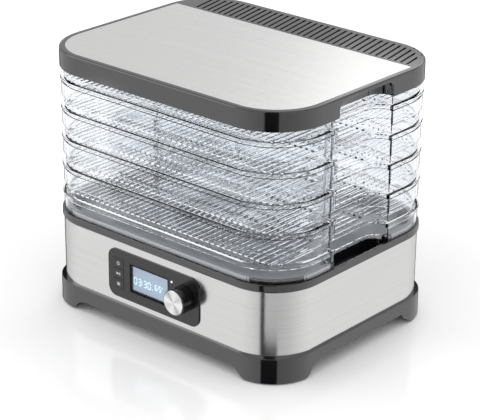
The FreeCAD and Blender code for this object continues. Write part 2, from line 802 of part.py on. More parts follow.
def make_tub():
    """Lower housing: plinth with four feet, and the tub wall behind the steel wrap."""
    body = new_body("BaseTub")
    plinth = sketch_in(body, z="size.foot_gap")
    outline(plinth, "0", "size.plinth_radius")
    low = pad(body, plinth, "size.plinth_height")
    round_edges(body, low, "size.edge_round", at_height(number(PLINTH_TOP)))
    upper = sketch_in(body, z=PLINTH_TOP)
    outline(upper, WRAP_BACK, "size.wrap_radius")
    pad(body, upper, "size.wrap_height")
    inside = sketch_in(body, z="size.foot_gap")
    outline(inside, CAVITY, "size.wrap_radius")
    pocket(body, inside, "size.plinth_height + size.wrap_height", along=True)
    ledge = sketch_in(body, z=COVER_TOP)
    outline(ledge, f"{CAVITY} - size.ledge_root", "size.wrap_radius")
    outline(ledge, f"{CAVITY} + size.ledge_width", "size.wrap_radius")
    pad(body, ledge, "size.ledge_thickness")
    for x, y in corners("size.foot_offset", "size.foot_offset"):
        boss = sketch_in(body, x=x, y=y, z="size.foot_gap")
        circle(boss, "size.foot_boss_radius")
        pad(body, boss, "size.cover_level - size.foot_gap")
    for plane, half, rise in (("XZ_Plane", "size.body_length / 2", "size.front_arch"),
                              ("YZ_Plane", "size.body_depth / 2", "size.side_arch")):
        gap = sketch_in(body, plane, z="-size.body_length")
        arch(gap, f"{half} - size.foot_length", rise, "-size.overshoot")
        pocket(body, gap, "2 * size.body_length", along=True)
    for x, y in corners("size.foot_offset", "size.foot_offset"):
        seat = sketch_in(body, x=x, y=y, z="size.foot_gap")
        circle(seat, "size.foot_radius + size.slip")
        pocket(body, seat, "size.foot_seat", along=True)
    opening = sketch_in(body, "XZ_Plane", x="size.panel_x", y="size.panel_z",
                        z="size.body_depth / 2 - size.wrap_inset")
    rectangle(opening, *PANEL_OPENING)
    pocket(body, opening, CAVITY)
    socket = sketch_in(body, "XZ_Plane", x="size.inlet_x", y="size.inlet_z",
                       z="-size.body_depth / 2 + size.wrap_inset")
    rectangle(socket, *SOCKET_OPENING)
    pocket(body, socket, CAVITY, along=True)
    finish(body, "base_tub")


def make_wrap():
    """Brushed steel band between the plinth and the bezel."""
    body = new_body("SteelWrap")
    band = sketch_in(body, z=PLINTH_TOP)
    outline(band, "size.wrap_inset", "size.wrap_radius")
    outline(band, WRAP_BACK, "size.wrap_radius")
    pad(body, band, "size.wrap_height")
    opening = sketch_in(body, "XZ_Plane", x="size.panel_x", y="size.panel_z",
                        z="size.body_depth / 2 - size.wrap_inset + size.overshoot")
    rectangle(opening, *PANEL_OPENING)
    pocket(body, opening, "size.wrap_thickness + 2 * size.overshoot")
    socket = sketch_in(body, "XZ_Plane", x="size.inlet_x", y="size.inlet_z",
                       z="-size.body_depth / 2 + size.wrap_inset - size.overshoot")
    rectangle(socket, *SOCKET_OPENING)
    pocket(body, socket, "size.wrap_thickness + 2 * size.overshoot", along=True)
    finish(body, "steel_wrap")


def make_cover():
    """Bottom cover with the fan's intake slots, screw holes and board standoffs."""
    body = new_body("BottomCover")
    plate = sketch_in(body, z="size.cover_level")
    outline(plate, f"{CAVITY} + size.cover_gap", "size.wrap_radius")
    pad(body, plate, "size.cover_thickness")
    for x, y in board_posts():
        post = sketch_in(body, x=x, y=y, z=COVER_TOP)
        circle(post, "size.standoff_radius")
        circle(post, "size.pilot_radius")
        pad(body, post, "size.standoff_height")
    for x, y in corners("size.post_offset_x", "size.post_offset_y"):
        hole = sketch_in(body, x=x, y=y, z=COVER_TOP)
        circle(hole, "size.screw_radius + size.slip")
        pocket(body, hole, "size.cover_thickness")
        sink = sketch_in(body, x=x, y=y, z="size.cover_level")
        circle(sink, "size.screw_head_radius + size.head_gap")
        pocket(body, sink, "size.head_sink", along=True)
    for place in (-1, 1):
        row = sketch_in(body, z=COVER_TOP)
        rectangle(row, "size.intake_width", "size.intake_length", "-size.intake_span / 2",
                  f"{place} * size.intake_offset")
        slot = pocket(body, row, "size.cover_thickness")
        pattern(body, [slot], "X_Axis", "size.intake_span", "size.intake_count")
    finish(body, "bottom_cover")


def board_posts():
    """Four standoffs near the corners of the power board."""
    for side in (-1, 1):
        for end in (-1, 1):
            yield (f"size.power_board_x + {side} * "
                   "(size.power_board_length / 2 - size.board_hole_inset)",
                   f"size.power_board_y + {end} * "
                   "(size.power_board_depth / 2 - size.board_hole_inset)")


def make_feet():
    feet = [cylinder(f"Foot{i}", "size.foot_radius", "size.foot_gap + size.foot_seat",
                     (x, y, "0"))
            for i, (x, y) in enumerate(corners("size.foot_offset", "size.foot_offset"))]
    finish(grouped("RubberFeet", feet), "rubber_feet")


def make_deck():
    """Top deck: bezel, floor with the air opening, tray upstand, finger pockets and posts."""
    body = new_body("TopDeck")
    ring = sketch_in(body, z=WRAP_TOP)
    outline(ring, "0", "size.bezel_radius")
    rim = pad(body, ring, "size.bezel_height")
    lower = round_edges(body, rim, "size.bezel_round", at_height(number(WRAP_TOP)))
    round_edges(body, lower, "size.edge_round", at_height(number(SEAT)))
    well = sketch_in(body, z=SEAT)
    outline(well, "size.deck_rim", "size.bezel_radius")
    pocket(body, well, "size.bezel_height - size.deck_thickness")
    nest = "(size.skirt_inset + size.tray_wall + size.nest_gap)"
    upstand = sketch_in(body, z=f"{WRAP_TOP} + size.deck_thickness")
    outline(upstand, nest, "size.lid_radius")
    outline(upstand, "(size.deck_rim + size.upstand_foot)", "size.lid_radius")
    pad(body, upstand, "size.bezel_height - size.deck_thickness + size.deck_lip")
    pocket_low = f"({SEAT} - size.pocket_depth)"
    inner = f"({CAVITY} + size.opening_gap)"
    half = "(size.recess_half + size.pocket_side)"
    radius = "(size.recess_radius - 1)"
    for side, turn in SIDES:
        block = sketch_in(body, x=f"{side} * (size.body_length / 2 - {inner})",
                          y="size.recess_centre", z=pocket_low, turn=turn)
        half_rounded(block, f"size.recess_depth + size.pocket_reach + size.pocket_wall - {inner}",
                     f"{half} + size.pocket_wall", "size.recess_radius")
        pad(body, block, "size.pocket_depth")
        shallow = sketch_in(body, x=f"{side} * (size.body_length / 2 - size.pocket_band)",
                            y="size.recess_centre", z=f"{WRAP_TOP} + size.pocket_sill",
                            turn=turn)
        half_rounded(shallow, "size.recess_depth + size.pocket_reach - size.pocket_band",
                     half, radius)
        pocket(body, shallow, "size.bezel_height + size.deck_lip", along=True)
        deep = sketch_in(body, x=f"{side} * (size.body_length / 2 - {inner} - size.pocket_wall)",
                         y="size.recess_centre", z=f"{pocket_low} + size.pocket_wall", turn=turn)
        half_rounded(deep, f"size.recess_depth + size.pocket_reach - {inner} - size.pocket_wall",
                     half, radius)
        pocket(body, deep, "size.pocket_depth", along=True)
    for x, y in corners("size.post_offset_x", "size.post_offset_y"):
        post = sketch_in(body, x=x, y=y, z=COVER_TOP)
        circle(post, "size.post_radius")
        pad(body, post, f"{WRAP_TOP} - {COVER_TOP}")
        pilot = sketch_in(body, x=x, y=y, z=COVER_TOP)
        circle(pilot, "size.pilot_radius")
        pocket(body, pilot, "size.pilot_depth", along=True)
    air = sketch_in(body, z=f"{WRAP_TOP} + size.deck_thickness")
    circle(air, "size.duct_radius - size.guard_lap")
    pocket(body, air, "size.deck_thickness")
    finish(body, "top_deck")


def make_case_screws():
    screws = []
    for i, (x, y) in enumerate(corners("size.post_offset_x", "size.post_offset_y")):
        seat = "(size.cover_level + size.head_sink)"
        under = f"({seat} - size.screw_head_height)"
        shank = cylinder(f"CaseShank{i}", "size.screw_radius", "size.screw_length", (x, y, seat))
        head = cylinder(f"CaseHead{i}", "size.screw_head_radius", "size.screw_head_height",
                        (x, y, under))
        cross = box(f"CaseCross{i}", ("size.cross_length", "size.cross_width",
                                      "size.cross_depth"), (x, y, f"{under} + size.cross_depth / 2"))
        screws.append(minus(f"CaseScrew{i}", joined(f"CaseSolid{i}", shank, head), cross))
    finish(grouped("CaseScrews", screws), "case_screws")


# ---------------------------------------------------------------- air path

def make_guard():
    """Round guard over the air opening: rings and spokes."""
    body = new_body("AirGuard")
    level = f"({WRAP_TOP} + size.deck_thickness)"
    ring = sketch_in(body, z=level)
    circle(ring, "size.duct_radius")
    circle(ring, "size.duct_radius - size.guard_lap - size.guard_rim")
    pad(body, ring, "size.guard_thickness")
    spoke = sketch_in(body, z=level)
    rectangle(spoke, "2 * (size.duct_radius - size.guard_lap)", "size.spoke_width")
    bar = pad(body, spoke, "size.guard_thickness")
    turn_pattern(body, [bar], "size.guard_spokes")
    rings = sketch_in(body, z=level)
    for place in range(1, round(number("size.guard_rings")) + 1):
        circle(rings, f"size.guard_pitch * {place} + size.guard_ring / 2")
        circle(rings, f"size.guard_pitch * {place} - size.guard_ring / 2")
    pad(body, rings, "size.guard_thickness")
    finish(body, "air_guard")


def make_duct():
    duct = tube("AirDuct", "size.duct_radius", "size.duct_radius + size.duct_wall",
                f"{WRAP_TOP} - {COVER_TOP} - size.duct_gap", ("0", "0", COVER_TOP))
    finish(duct, "air_duct")


def make_heater():
    """Crossed mica sheets on the duct, and the flat-wound coil that lies on them."""
    span = "(2 * size.duct_radius - size.sheet_gap)"
    sheets = [box("MicaAcross", (span, "size.mica_thickness", "size.heater_height"),
                  ("0", "0", "size.heater_level")),
              box("MicaAlong", ("size.mica_thickness", span, "size.heater_height"),
                  ("0", "0", "size.heater_level"))]
    finish(joined("HeaterFrame", *sheets), "heater_frame")
    top = "size.heater_level + size.heater_height / 2"
    rings = []
    for place in (2, 3, 4):
        middle = f"size.coil_pitch * {place}"
        rings.append(tube(f"Coil{place}", f"{middle} - size.coil_width / 2",
                          f"{middle} + size.coil_width / 2", "size.coil_width",
                          ("0", "0", top)))
    finish(grouped("HeatingCoil", rings), "heating_coil")


def make_fan():
    """Motor on its bracket, and the rotor that turns above it."""
    bar = box("BracketBar", ("2 * size.bracket_half", "size.bracket_width",
                             "size.bracket_thickness"),
              ("0", "0", "size.bracket_level + size.bracket_thickness / 2"))
    leg_height = f"(size.bracket_level - {COVER_TOP})"
    legs = [box(f"BracketLeg{side + 1}", ("size.bracket_thickness", "size.bracket_width",
                                          leg_height),
                (f"{side} * (size.bracket_half - size.bracket_thickness / 2)", "0",
                 f"{COVER_TOP} + {leg_height} / 2")) for side in (-1, 1)]
    finish(joined("MotorBracket", bar, *legs), "motor_bracket")
    base = "(size.bracket_level + size.bracket_thickness)"
    can = cylinder("MotorCan", "size.motor_radius", "size.motor_height", ("0", "0", base))
    bore = cylinder("MotorBore", "size.spindle_radius + size.shaft_clearance",
                    "size.motor_height - size.motor_floor",
                    ("0", "0", f"{base} + size.motor_floor"))
    finish(minus("FanMotor", can, bore), "fan_motor")
    hub = f"({base} + size.motor_height + size.fan_gap)"
    top = f"({hub} + size.hub_height + size.nut_height)"
    spindle = cylinder("Spindle", "size.spindle_radius", f"{top} - {base} - size.spindle_foot",
                       ("0", "0", f"{base} + size.spindle_foot"))
    finish(grouped("FanSpindle", [spindle]), "fan_spindle")
    blades = new_body("FanBlade")
    disc = sketch_in(blades, z=hub)
    circle(disc, "size.hub_radius")
    pad(blades, disc, "size.hub_height")
    section = sketch_in(blades, "YZ_Plane", x="0", y=f"{hub} + size.hub_height / 2",
                        z="size.hub_radius - size.blade_root",
                        turn=number("size.blade_pitch_angle"))
    rectangle(section, "size.blade_chord", "size.blade_thickness")
    blade = pad(blades, section, "size.fan_radius - size.hub_radius + size.blade_root")
    turn_pattern(blades, [blade], "size.blade_count")
    eye = sketch_in(blades, z=hub)
    circle(eye, "size.spindle_radius")
    pocket(blades, eye, "size.hub_height", along=True)
    finish(blades, "fan_blade")
    nut = tube("FanNut", "size.spindle_radius", "size.nut_radius", "size.nut_height",
               ("0", "0", f"{hub} + size.hub_height"))
    finish(nut, "fan_nut")


def make_heat_safety():
    """Bimetal thermostat and thermal fuse on the duct, and an air sensor beside it."""
    wall = "(size.duct_radius + size.duct_wall)"
    level = "size.thermostat_level"
    can = cylinder("ThermostatCan", "size.thermostat_radius", "size.thermostat_depth",
                   (wall, "0", level), "x")
    flange = box("ThermostatFlange", ("size.flange_thickness", "size.flange_length",
                                      "size.flange_height"),
                 (f"{wall} + size.thermostat_depth + size.flange_thickness / 2", "0", level))
    finish(grouped("Thermostat", [joined("ThermostatSolid", can, flange)]), "thermostat")
    fuse = cylinder("FuseBody", "size.fuse_radius", "size.fuse_length",
                    ("size.fuse_x", "size.mica_thickness / 2 + size.fuse_radius",
                     "size.heater_level"), "x")
    finish(grouped("ThermalFuse", [fuse]), "thermal_fuse")
    bead = cylinder("SensorBead", "size.sensor_radius", "size.sensor_length",
                    (f"{wall} + size.sensor_radius + size.sensor_gap", "size.sensor_y",
                     f"{WRAP_TOP} - size.sensor_length"))
    finish(grouped("AirSensor", [bead]), "air_sensor")


# ---------------------------------------------------------------- control panel

def make_panel():
    """Black fascia with openings for the window, buttons, light and knob shaft."""
    body = new_body("ControlPanel")
    face = sketch_in(body, "XZ_Plane", x="size.panel_x", y="size.panel_z", z=f"-({FRONT})")
    rounded_rectangle(face, "size.panel_length", "size.panel_height", "size.panel_radius")
    plate = pad(body, face, "size.panel_proud")
    round_edges(body, plate, "size.panel_round", at_depth(number(PANEL_FACE)))
    back = sketch_in(body, "XZ_Plane", x="size.panel_x", y="size.panel_z", z=f"-({FRONT})")
    rectangle(back, "size.panel_length - 2 * size.panel_overlap",
              "size.panel_height - 2 * size.panel_overlap")
    pad(body, back, "size.panel_back - size.panel_proud", down=True)
    sink = sketch_in(body, "XZ_Plane", x="size.window_x", y="size.window_z",
                     z=f"-({PANEL_FACE})")
    rectangle(sink, "size.window_length + 2 * size.window_gap",
              "size.window_height + 2 * size.window_gap")
    pocket(body, sink, "size.window_thickness")
    view = sketch_in(body, "XZ_Plane", x="size.window_x", y="size.window_z",
                     z=f"-({PANEL_FACE})")
    rectangle(view, "size.window_length - 2 * size.window_lip",
              "size.window_height - 2 * size.window_lip")
    pocket(body, view, "size.panel_back")
    holes = sketch_in(body, "XZ_Plane", z=f"-({PANEL_FACE})")
    for place in (-1, 0, 1):
        rectangle(holes, "size.button_length", "size.button_height", "size.button_x",
                  f"size.button_z + {place} * size.button_pitch")
    circle(holes, "size.light_radius + size.panel_hole_gap", "size.light_x", "size.light_z")
    circle(holes, "size.bush_radius + size.panel_hole_gap", "size.knob_x", "size.knob_z")
    pocket(body, holes, "size.panel_back")
    for x, z in panel_posts():
        post = sketch_in(body, "XZ_Plane", x=x, y=z, z=f"-({BOARD_FACE})")
        circle(post, "size.standoff_radius")
        circle(post, "size.pilot_radius")
        pad(body, post, "size.board_gap")
    finish(body, "control_panel")


def panel_posts():
    """Four posts on the panel's back, clear of the buttons, the display and the encoder."""
    for x in ("size.panel_post_left", "size.panel_post_right"):
        for end in (-1, 1):
            yield x, f"size.panel_z + {end} * size.panel_post_rise"


def make_display():
    window = box("Window", ("size.window_length", "size.window_thickness",
                            "size.window_height"),
                 ("size.window_x", f"{PANEL_FACE} + size.window_thickness / 2", "size.window_z"))
    finish(grouped("DisplayWindow", [window]), "display_window")
    depth = "size.lcd_thickness"
    lcd = box("Lcd", ("size.window_length", depth, "size.window_height"),
              ("size.window_x", f"{PANEL_BACK} + {depth} / 2", "size.window_z"))
    finish(grouped("LcdModule", [lcd]), "lcd_module")


def make_buttons():
    """Three push buttons, each with a flange behind the panel and a stem to its switch."""
    gap = "size.button_gap"
    switches = []
    for place, name in ((1, "power"), (0, "start"), (-1, "set")):
        level = f"size.button_z + {place} * size.button_pitch"
        body = new_body(f"Button{name.title()}")
        root = f"({PANEL_BACK} + size.flange_gap)"
        cap = sketch_in(body, "XZ_Plane", x="size.button_x", y=level, z=f"-{root}")
        rectangle(cap, f"size.button_length - 2 * {gap}", f"size.button_height - 2 * {gap}")
        block = pad(body, cap, "size.panel_back + size.flange_gap + size.button_proud")
        round_edges(body, block, "size.button_round",
                    at_depth(number(f"{PANEL_FACE} - size.button_proud")))
        flange = sketch_in(body, "XZ_Plane", x="size.button_x", y=level, z=f"-{root}")
        rectangle(flange, "size.button_length + 2 * size.flange_side",
                  f"size.button_height - 2 * {gap}")
        pad(body, flange, "size.button_flange", down=True)
        stem = sketch_in(body, "XZ_Plane", x="size.button_x", y=level, z=f"-({PANEL_BACK})")
        circle(stem, "size.stem_radius")
        pad(body, stem,
            "size.board_gap - size.switch_height - size.button_travel - size.stem_gap", down=True)
        finish(body, f"button_{name}")
        side = "size.switch_side"
        switches.append(box(f"Switch{name.title()}", (side, "size.switch_height", side),
                            ("size.button_x", f"{BOARD_FACE} - size.switch_height / 2", level)))
    finish(grouped("TactSwitches", switches), "tact_switches")


def make_control_board():
    body = new_body("ControlBoard")
    board = sketch_in(body, "XZ_Plane", x="size.panel_x", y="size.panel_z",
                      z=f"-({BOARD_FACE})")
    rectangle(board, "size.panel_length - 2 * size.panel_overlap",
              "size.panel_height - 2 * size.panel_overlap")
    pad(body, board, "size.board_thickness", down=True)
    holes = sketch_in(body, "XZ_Plane", z=f"-({BOARD_FACE})")
    for x, z in panel_posts():
        circle(holes, "size.screw_radius + size.slip", x, z)
    pocket(body, holes, "size.board_thickness")
    finish(body, "control_board")
    screws = []
    back = f"({BOARD_FACE} + size.board_thickness)"
    for i, (x, z) in enumerate(panel_posts()):
        reach = "(size.small_screw_length + size.board_thickness)"
        shank = cylinder(f"BoardShank{i}", "size.screw_radius", reach,
                         (x, f"{back} - {reach}", z), "y")
        head = cylinder(f"BoardHead{i}", "size.small_head_radius", "size.screw_head_height",
                        (x, back, z), "y")
        screws.append(joined(f"BoardScrew{i}", shank, head))
    finish(grouped("ControlBoardScrews", screws), "control_board_screws")
    pipe = cylinder("LightPipe", "size.light_radius", "size.panel_back + size.light_tail",
                    ("size.light_x", PANEL_FACE, "size.light_z"), "y")
    finish(grouped("StatusLight", [pipe]), "status_light")


def make_knob():
    """Encoder on the board; its shaft, the knob and the steel cap turn together."""
    side = "size.encoder_side"
    centre_z = "size.knob_z"
    case = box("EncoderCase", (side, "size.encoder_height", side),
               ("size.knob_x", f"{BOARD_FACE} - size.encoder_height / 2", centre_z))
    bush_length = f"({BOARD_FACE} - size.encoder_height - ({PANEL_FACE}))"
    bush = cylinder("EncoderBush", "size.bush_radius", bush_length,
                    ("size.knob_x", PANEL_FACE, centre_z), "y")
    bore = cylinder("EncoderBore", "size.shaft_radius + size.shaft_clearance", bush_length,
                    ("size.knob_x", PANEL_FACE, centre_z), "y")
    finish(minus("Encoder", joined("EncoderSolid", case, bush), bore), "encoder")
    tip = f"({KNOB_BACK} - size.knob_length + size.knob_face)"
    shaft = cylinder("ShaftRod", "size.shaft_radius",
                     f"{bush_length} + ({PANEL_FACE} - {tip}) - size.shaft_end_gap",
                     ("size.knob_x", tip, centre_z), "y")
    finish(grouped("EncoderShaft", [shaft]), "encoder_shaft")
    body = new_body("Knob")
    disc = sketch_in(body, "XZ_Plane", x="size.knob_x", y=centre_z, z=f"-({KNOB_BACK})")
    circle(disc, "size.knob_radius")
    solid = pad(body, disc, "size.knob_length")
    front = number(f"{KNOB_BACK} - size.knob_length")
    round_edges(body, solid, "size.knob_round", at_depth(front))
    hollow = sketch_in(body, "XZ_Plane", x="size.knob_x", y=centre_z, z=f"-({KNOB_BACK})")
    circle(hollow, "size.knob_radius - size.knob_skin")
    circle(hollow, "size.shaft_radius + size.knob_skin")
    pocket(body, hollow, "size.knob_length - size.knob_face", along=True)
    bore = sketch_in(body, "XZ_Plane", x="size.knob_x", y=centre_z, z=f"-({KNOB_BACK})")
    circle(bore, "size.shaft_radius")
    pocket(body, bore, "size.knob_length - size.knob_face", along=True)
    finish(body, "knob")
    cap = new_body("KnobCap")
    disc = sketch_in(cap, "XZ_Plane", x="size.knob_x", y=centre_z,
                     z=f"-({KNOB_BACK} - size.knob_length)")
    circle(disc, "size.cap_radius")
    solid = pad(cap, disc, "size.cap_thickness")
    round_edges(cap, solid, "size.cap_chamfer",
                at_depth(front - number("size.cap_thickness")), "PartDesign::Chamfer")
    finish(cap, "knob_cap")


# ---------------------------------------------------------------- mains side

def make_inlet():
    """Mains socket in the back wall, with its three pins and two screws."""
    wall = "(size.body_depth / 2 - size.wrap_inset)"
    outer = ("size.socket_length + 2 * size.socket_wall",
             "size.socket_height + 2 * size.socket_wall")
    flange = box("InletFlange", ("size.inlet_length", "size.inlet_flange", "size.inlet_height"),
                 ("size.inlet_x", f"{wall} + size.inlet_flange / 2", "size.inlet_z"))
    sleeve_depth = "(size.socket_depth + size.socket_wall)"
    sleeve = box("InletSleeve", (outer[0], sleeve_depth, outer[1]),
                 ("size.inlet_x", f"{wall} - {sleeve_depth} / 2", "size.inlet_z"))
    mouth_depth = "(size.socket_depth + size.inlet_flange)"
    mouth = box("InletMouth", ("size.socket_length", mouth_depth, "size.socket_height"),
                ("size.inlet_x", f"{wall} + size.inlet_flange - {mouth_depth} / 2",
                 "size.inlet_z"))
    holes = [cylinder(f"InletHole{side + 1}", "size.pilot_radius", "size.inlet_flange",
                      (f"size.inlet_x + {side} * size.inlet_screw_pitch / 2", wall,
                       "size.inlet_z"), "y") for side in (-1, 1)]
    finish(minus("MainsInlet", joined("InletSolid", flange, sleeve), mouth, *holes),
           "mains_inlet")
    pin_length = "(size.socket_depth - size.pin_recess)"
    pins = [box(f"Pin{place + 1}", ("size.pin_width", pin_length, "size.pin_height"),
                (f"size.inlet_x + {place} * size.pin_pitch",
                 f"{wall} - size.socket_depth + {pin_length} / 2",
                 f"size.inlet_z + {1 if place == 0 else -1} * size.pin_offset"))
            for place in (-1, 0, 1)]
    finish(grouped("InletPins", pins), "inlet_pins")
    screws = []
    for side in (-1, 1):
        x = f"size.inlet_x + {side} * size.inlet_screw_pitch / 2"
        reach = "size.inlet_flange"
        shank = cylinder(f"InletShank{side + 1}", "size.screw_radius", reach,
                         (x, wall, "size.inlet_z"), "y")
        head = cylinder(f"InletHead{side + 1}", "size.small_head_radius", "size.inlet_head",
                        (x, f"{wall} + {reach}", "size.inlet_z"), "y")
        screws.append(joined(f"InletScrew{side + 1}", shank, head))
    finish(grouped("InletScrews", screws), "inlet_screws")


def make_power_board():
    """Mains board on four standoffs, with its transformer, relay and capacitor."""
    level = f"({COVER_TOP} + size.standoff_height)"
    top = f"({level} + size.board_thickness)"
    x, y = "size.power_board_x", "size.power_board_y"
    board = box("PowerPlate", ("size.power_board_length", "size.power_board_depth",
                               "size.board_thickness"),
                (x, y, f"{level} + size.board_thickness / 2"))
    holes = []
    screws = []
    for i, (px, py) in enumerate(board_posts()):
        holes.append(cylinder(f"PowerHole{i}", "size.screw_radius + size.slip",
                              "size.board_thickness", (px, py, level)))
        shank = cylinder(f"PowerShank{i}", "size.screw_radius",
                         "size.small_screw_length + size.board_thickness",
                         (px, py, f"{level} - size.small_screw_length"))
        head = cylinder(f"PowerHead{i}", "size.small_head_radius", "size.screw_head_height",
                        (px, py, top))
        screws.append(joined(f"PowerScrew{i}", shank, head))
    finish(minus("PowerBoard", board, *holes), "power_board")
    finish(grouped("PowerBoardScrews", screws), "power_board_screws")
    core = box("TransformerCore", ("size.transformer_length", "size.transformer_depth",
                                   "size.transformer_height"),
               (f"{x} + size.transformer_x", f"{y} + size.transformer_y",
                f"{top} + size.transformer_height / 2"))
    finish(grouped("Transformer", [core]), "transformer")
    case = box("RelayCase", ("size.relay_length", "size.relay_depth", "size.relay_height"),
               (f"{x} + size.relay_x", f"{y} + size.small_parts_y",
                f"{top} + size.relay_height / 2"))
    finish(grouped("Relay", [case]), "relay")
    can = cylinder("CapacitorCan", "size.capacitor_radius", "size.capacitor_height",
                   (f"{x} + size.capacitor_x", f"{y} + size.small_parts_y", top))
    finish(grouped("FilterCapacitor", [can]), "filter_capacitor")


make_tub()
make_wrap()
make_cover()
make_feet()
make_deck()
make_case_screws()
make_guard()
make_duct()
make_heater()
make_fan()
make_heat_safety()
make_panel()
make_display()
make_buttons()
make_control_board()
make_knob()
make_inlet()
make_power_board()
make_trays()
make_lid()

doc.recompute()
for item in doc.Objects:
    bad = [state for state in item.State if state in ("Invalid", "Error")]
    if bad:
        raise RuntimeError(f"{item.Name} ({item.Label}): {bad}")
os.makedirs("parts", exist_ok=True)
for item in subparts:
    shape = item.Shape
    if shape.isNull() or not shape.isValid():
        raise RuntimeError(f"{item.Label} has no valid shape")
    shape.exportStep(f"parts/{item.Label}.step")
    print(f"{item.Label}: {len(shape.Solids)} solid(s), {shape.Volume / 1000:.1f} cm3")
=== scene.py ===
"""Looks of the food dehydrator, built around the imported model, in metres."""
import json
import math

import bmesh
import bpy
from mathutils import Matrix, Vector

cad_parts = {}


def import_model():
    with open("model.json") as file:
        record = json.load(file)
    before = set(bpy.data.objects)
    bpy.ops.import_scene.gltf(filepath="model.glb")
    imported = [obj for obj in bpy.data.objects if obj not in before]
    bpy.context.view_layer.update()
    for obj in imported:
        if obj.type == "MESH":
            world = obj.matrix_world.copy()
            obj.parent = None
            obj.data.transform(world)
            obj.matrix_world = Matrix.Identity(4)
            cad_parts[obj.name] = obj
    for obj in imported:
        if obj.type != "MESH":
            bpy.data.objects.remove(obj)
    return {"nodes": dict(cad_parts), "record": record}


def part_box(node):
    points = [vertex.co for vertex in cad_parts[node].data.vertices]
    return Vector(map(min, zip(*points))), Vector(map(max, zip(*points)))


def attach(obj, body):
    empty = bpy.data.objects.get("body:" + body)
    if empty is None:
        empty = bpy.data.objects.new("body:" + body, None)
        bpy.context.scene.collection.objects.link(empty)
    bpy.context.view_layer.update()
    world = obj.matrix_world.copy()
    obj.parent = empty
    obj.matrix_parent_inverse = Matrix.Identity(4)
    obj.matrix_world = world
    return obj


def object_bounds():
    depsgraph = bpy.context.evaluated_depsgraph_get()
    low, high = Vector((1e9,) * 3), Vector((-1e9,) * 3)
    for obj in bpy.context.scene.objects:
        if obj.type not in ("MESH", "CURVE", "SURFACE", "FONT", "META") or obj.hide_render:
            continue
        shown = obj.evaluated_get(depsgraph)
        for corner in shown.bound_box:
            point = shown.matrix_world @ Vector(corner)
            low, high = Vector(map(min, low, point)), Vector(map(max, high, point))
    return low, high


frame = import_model()
cad_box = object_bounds()
scene = bpy.context.scene
MM = 0.001

# ---------------------------------------------------------------- places read from the frame
tub_low, tub_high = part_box("base_tub")
HOUSING_X = (tub_low.x + tub_high.x) / 2
HOUSING_Y = (tub_low.y + tub_high.y) / 2
lcd_low, lcd_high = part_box("lcd_module")
cap_low, cap_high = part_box("knob_cap")


DECK_HALF = (0.1085, 0.07175)   # middle of the housing to the centres of the deck's corners
DECK_CORNER = 0.0575             # radius of those corners
POCKET_X = 0.1450                # the finger pockets lie further out than this
POCKET_Y = 0.0510                # half their length

GLOSS_BLACK = (0.006, 0.006, 0.007)
GLOSS_IOR = 1.95
# Painted reflection: brightness round the knob's cap, by the share of a full turn, the cap's
# hourglass highlight painted into its colour.
PAINTED_REFLECTION_RAYS = ((0.0, 0.95), (0.07, 0.92), (0.14, 0.30), (0.20, 0.88), (0.30, 0.97), (0.40, 0.55),
        (0.47, 0.95), (0.58, 0.95), (0.66, 0.32), (0.72, 0.90), (0.82, 0.97), (0.91, 0.6),
        (1.0, 0.95))


# ---------------------------------------------------------------- node helpers

def material(name):
    """New node material, with its node tree and its shader."""
    item = bpy.data.materials.new(name)
    item.use_nodes = True
    tree = item.node_tree
    shader = tree.nodes["Principled BSDF"]
    return item, tree, shader


def add(tree, kind, **settings):
    """New node with its settings and its inputs' plain values."""
    node = tree.nodes.new(kind)
    for key, value in settings.items():
        if hasattr(node, key) and key not in node.inputs:
            setattr(node, key, value)
        else:
            node.inputs[key].default_value = value
    return node


def stretched_noise(tree, stretch, scale=1.0, detail=3.0, rotation=(0, 0, 0)):
    """Noise over the object's own coordinates, stretched by a scale on each axis."""
    where = add(tree, "ShaderNodeTexCoord")
    mapping = add(tree, "ShaderNodeMapping")
    mapping.inputs["Scale"].default_value = stretch
    mapping.inputs["Rotation"].default_value = rotation
    noise = add(tree, "ShaderNodeTexNoise", Scale=scale, Detail=detail)
    tree.links.new(where.outputs["Object"], mapping.inputs["Vector"])
    tree.links.new(mapping.outputs["Vector"], noise.inputs["Vector"])
    return noise


def ranged(tree, source, low, high):
    """Map the middle half of a noise value onto low to high."""
    node = add(tree, "ShaderNodeMapRange")
    node.inputs["From Min"].default_value = 0.25
    node.inputs["From Max"].default_value = 0.75
    node.inputs["To Min"].default_value = low
    node.inputs["To Max"].default_value = high
    tree.links.new(source, node.inputs["Value"])
    return node.outputs["Result"]


def tinted(tree, source, dark, light):
    """Colour between two tints by a 0 to 1 value."""
    ramp = add(tree, "ShaderNodeValToRGB")
    ramp.color_ramp.elements[0].color = (*dark, 1)
    ramp.color_ramp.elements[1].color = (*light, 1)
    ramp.color_ramp.elements[0].position = 0.3
    ramp.color_ramp.elements[1].position = 0.7
    tree.links.new(source, ramp.inputs["Fac"])
    return ramp.outputs["Color"]


def bumped(tree, shader, source, strength, distance=0.0001):
    bump = add(tree, "ShaderNodeBump")
    bump.inputs["Strength"].default_value = strength
    bump.inputs["Distance"].default_value = distance
    tree.links.new(source, bump.inputs["Height"])
    tree.links.new(bump.outputs["Normal"], shader.inputs["Normal"])
    return bump


# ---------------------------------------------------------------- materials

